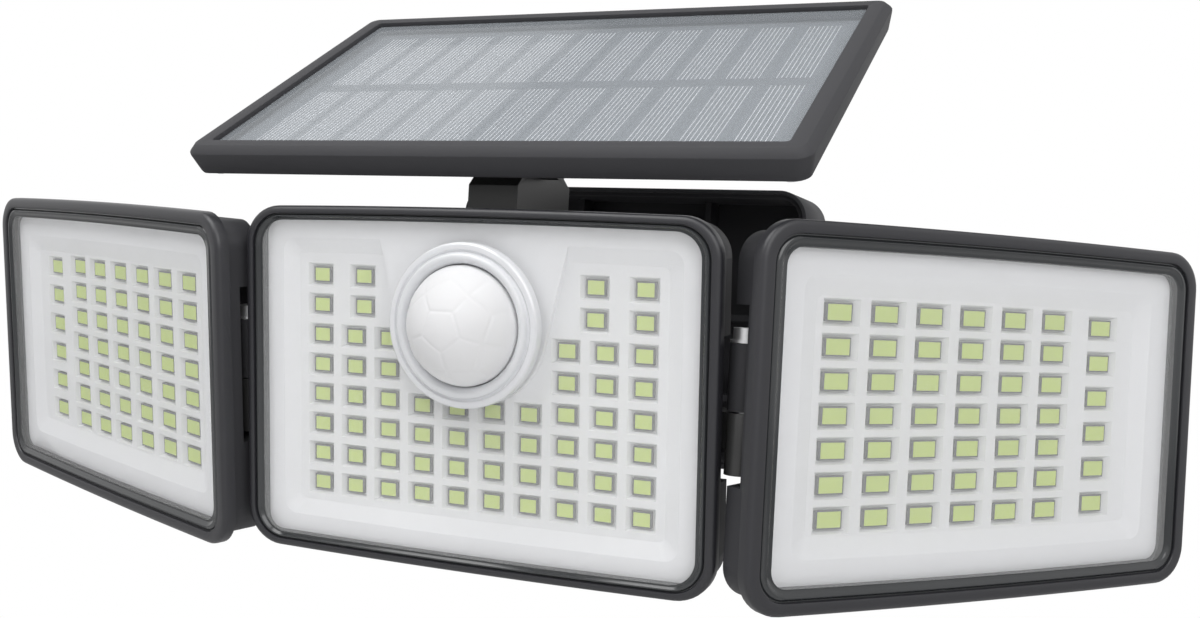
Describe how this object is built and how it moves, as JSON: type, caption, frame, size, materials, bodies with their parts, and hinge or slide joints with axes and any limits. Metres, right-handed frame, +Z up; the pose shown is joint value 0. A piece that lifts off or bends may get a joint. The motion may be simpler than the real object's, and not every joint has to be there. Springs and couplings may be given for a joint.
{
  "type": "motion sensor security light",
  "caption": "Black solar wall light with a centre lamp, motion sensor dome, two side lamps on swivel arms, and a tilting solar panel over a screw-on wall bracket.",
  "frame": {"origin": "middle of the four wall screw holes, on the wall plane", "axes": "+Z up, +Y out of the back into the wall, the lamps face -Y, +X to the right seen from the front"},
  "size_m": [0.317, 0.1233, 0.1369],
  "materials": {
    "housing_black": "fine texture",
    "rim_black": "satin",
    "hinge_black": "satin",
    "clear_cover": "clear",
    "seal_rubber": "matt",
    "reflector_white": "satin",
    "board_white": "solder mask",
    "board_green": "solder mask",
    "led_phosphor": "soft",
    "ring_silver": "polished",
    "dome_white": "milky",
    "screw_steel": "zinc plated",
    "battery_sleeve": "shrink sleeve",
    "button_rubber": "matt",
    "panel_glass": "clear",
    "solar_cell": "coated"
  },
  "bodies": {
    "bracket": {"wall_bracket": "housing_black", "tilt_bolt": "screw_steel", "tilt_nut": "screw_steel"},
    "centre_lamp": {"centre_front_frame": "rim_black", "centre_housing": "housing_black", "centre_led_board": "board_white", "centre_leds": "led_phosphor", "centre_lens": "clear_cover", "centre_lens_gasket": "seal_rubber", "centre_reflector": "reflector_white", "rear_cover": "housing_black", "rear_cover_seal": "seal_rubber", "rear_cover_screws": "screw_steel", "battery_cell": "battery_sleeve", "control_board": "board_green", "sensor_ring": "ring_silver", "sensor_dome": "dome_white", "sensor_board": "board_green", "pir_sensor": "screw_steel", "panel_post": "hinge_black", "panel_post_screws": "screw_steel", "button_switch": "board_green", "panel_hinge_bolt": "screw_steel"},
    "button": {"mode_button": "button_rubber"},
    "solar_panel": {"panel_frame": "housing_black", "panel_glass": "panel_glass", "solar_cells": "solar_cell", "panel_back_cover": "hinge_black", "panel_screws": "screw_steel"},
    "left_arm": {"left_swivel_arm": "hinge_black", "left_pan_screw": "screw_steel", "left_arm_screw": "screw_steel"},
    "left_lamp": {"left_front_frame": "rim_black", "left_lens": "clear_cover", "left_lens_gasket": "seal_rubber", "left_reflector": "reflector_white", "left_led_board": "board_white", "left_leds": "led_phosphor", "left_housing": "housing_black"},
    "right_arm": {"right_swivel_arm": "hinge_black", "right_pan_screw": "screw_steel", "right_arm_screw": "screw_steel"},
    "right_lamp": {"right_front_frame": "rim_black", "right_lens": "clear_cover", "right_lens_gasket": "seal_rubber", "right_reflector": "reflector_white", "right_led_board": "board_white", "right_leds": "led_phosphor", "right_housing": "housing_black"}
  },
  "joints": [
    {"name": "body_tilt", "type": "hinge", "parent": "bracket", "child": "centre_lamp", "pos_m": [0, -0.049, -0.008], "axis": [1, 0, 0], "range_deg": [-10, 20]},
    {"name": "panel_tilt", "type": "hinge", "parent": "centre_lamp", "child": "solar_panel", "pos_m": [0, -0.09, 0.0366], "axis": [1, 0, 0], "range_deg": [-27, 6]},
    {"name": "left_arm_tilt", "type": "hinge", "parent": "centre_lamp", "child": "left_arm", "pos_m": [0, -0.09383, -0.015], "axis": [1, 0, 0], "range_deg": [-12.4, 4.6]},
    {"name": "left_pan", "type": "hinge", "parent": "left_arm", "child": "left_lamp", "pos_m": [-0.0592, -0.10428, -0.01685], "axis": [0, 0.1288, -0.9917], "range_deg": [0, 37.5]},
    {"name": "right_arm_tilt", "type": "hinge", "parent": "centre_lamp", "child": "right_arm", "pos_m": [0, -0.09383, -0.015], "axis": [1, 0, 0], "range_deg": [-5.7, 11.2]},
    {"name": "right_pan", "type": "hinge", "parent": "right_arm", "child": "right_lamp", "pos_m": [0.0592, -0.10442, -0.01563], "axis": [0, -0.0134, 0.9999], "range_deg": [-28.4, 9]},
    {"name": "mode_button_press", "type": "slide", "parent": "centre_lamp", "child": "button", "axis": [0, -0.1045, 0.9945], "range_m": [0, 0.0012], "stiffness_N_per_m": 900}
  ]
}
